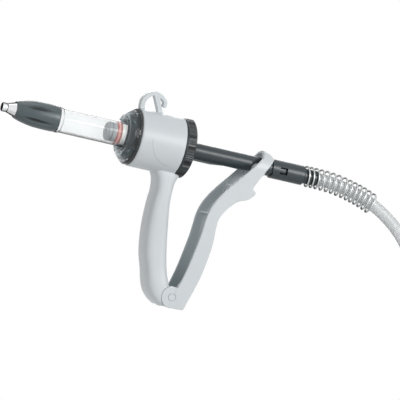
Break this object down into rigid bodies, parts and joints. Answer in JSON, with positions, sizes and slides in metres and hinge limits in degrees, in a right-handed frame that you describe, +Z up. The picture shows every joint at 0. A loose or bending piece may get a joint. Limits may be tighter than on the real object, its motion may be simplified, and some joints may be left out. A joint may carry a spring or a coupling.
{
  "type": "livestock drencher",
  "caption": "Hand-held drench gun: clear dosing barrel with piston, squeeze lever, dose ring, hanging hook, fluted nozzle cap and a feed hose with kink spring",
  "frame": {"origin": "inner face of the hanging hook's eye, at its crown, where the peg bears", "axes": "+X runs along the barrel from the nozzle to the hose, +Z is up, +Y is across the gun, to the left of a hand that holds it"},
  "size_m": [0.4213, 0.0512, 0.3775],
  "materials": {
    "light_grey_plastic": "satin moulded",
    "charcoal_plastic": "satin moulded",
    "black_plastic": "satin moulded",
    "grey_plastic": "translucent moulded",
    "white_plastic": "smooth",
    "clear_plastic": "clear polished",
    "smoky_plastic": "smoky clear polished",
    "clear_hose": "milky clear",
    "black_rubber": "matt",
    "red_rubber": "matt",
    "bright_steel": "bright"
  },
  "bodies": {
    "housing": {"body_housing": "light_grey_plastic", "barrel_bell": "smoky_plastic", "bell_gasket": "black_rubber", "barrel": "clear_plastic", "guide_bush": "charcoal_plastic", "valve_seat": "white_plastic", "cap_seal": "red_rubber", "nozzle": "bright_steel", "nozzle_cap": "charcoal_plastic", "outlet_spring": "bright_steel", "pivot_pin": "light_grey_plastic", "pivot_clip": "bright_steel"},
    "outlet": {"outlet_valve": "white_plastic"},
    "ring": {"dose_ring": "black_plastic"},
    "rod": {"rod_tube": "charcoal_plastic", "stop_collar": "charcoal_plastic", "piston_coupler": "charcoal_plastic", "piston_head": "grey_plastic", "piston_seal": "red_rubber", "piston_ring": "white_plastic", "inlet_spring": "bright_steel", "hose_barb": "charcoal_plastic", "barb_seal": "black_rubber", "hose_connector": "charcoal_plastic", "hose_ferrule": "charcoal_plastic", "kink_spring": "bright_steel", "hose": "clear_hose", "hose_coil": "clear_hose", "coil_tie": "black_rubber"},
    "inlet": {"inlet_valve": "white_plastic"},
    "lever": {"squeeze_lever": "light_grey_plastic", "return_spring": "bright_steel"}
  },
  "joints": [
    {"name": "lever_squeeze", "type": "hinge", "parent": "housing", "child": "lever", "pos_m": [0.052, 0, -0.1637], "axis": [0, -1, 0], "range_deg": [0, 18], "stiffness_Nm_per_rad": 2, "springref_deg": -20.05},
    {"name": "rod_slide", "type": "slide", "parent": "housing", "child": "rod", "axis": [-1, 0, 0], "range_m": [0, 0.0403]},
    {"name": "dose_ring_turn", "type": "hinge", "parent": "housing", "child": "ring", "pos_m": [0.035, 0, -0.038], "axis": [1, 0, 0], "range_deg": [0, 300]},
    {"name": "outlet_valve_lift", "type": "slide", "parent": "housing", "child": "outlet", "axis": [-1, 0, 0], "range_m": [0, 0.0015], "stiffness_N_per_m": 100, "springref_m": -0.002, "deforming": ["outlet_spring"]},
    {"name": "inlet_valve_lift", "type": "slide", "parent": "rod", "child": "inlet", "axis": [-1, 0, 0], "range_m": [0, 0.0015], "stiffness_N_per_m": 100, "springref_m": -0.002, "deforming": ["inlet_spring"]}
  ],
  "couplings": [
    {"joint": "rod_slide", "follows": "lever_squeeze", "m_per_rad": 0.12796}
  ]
}
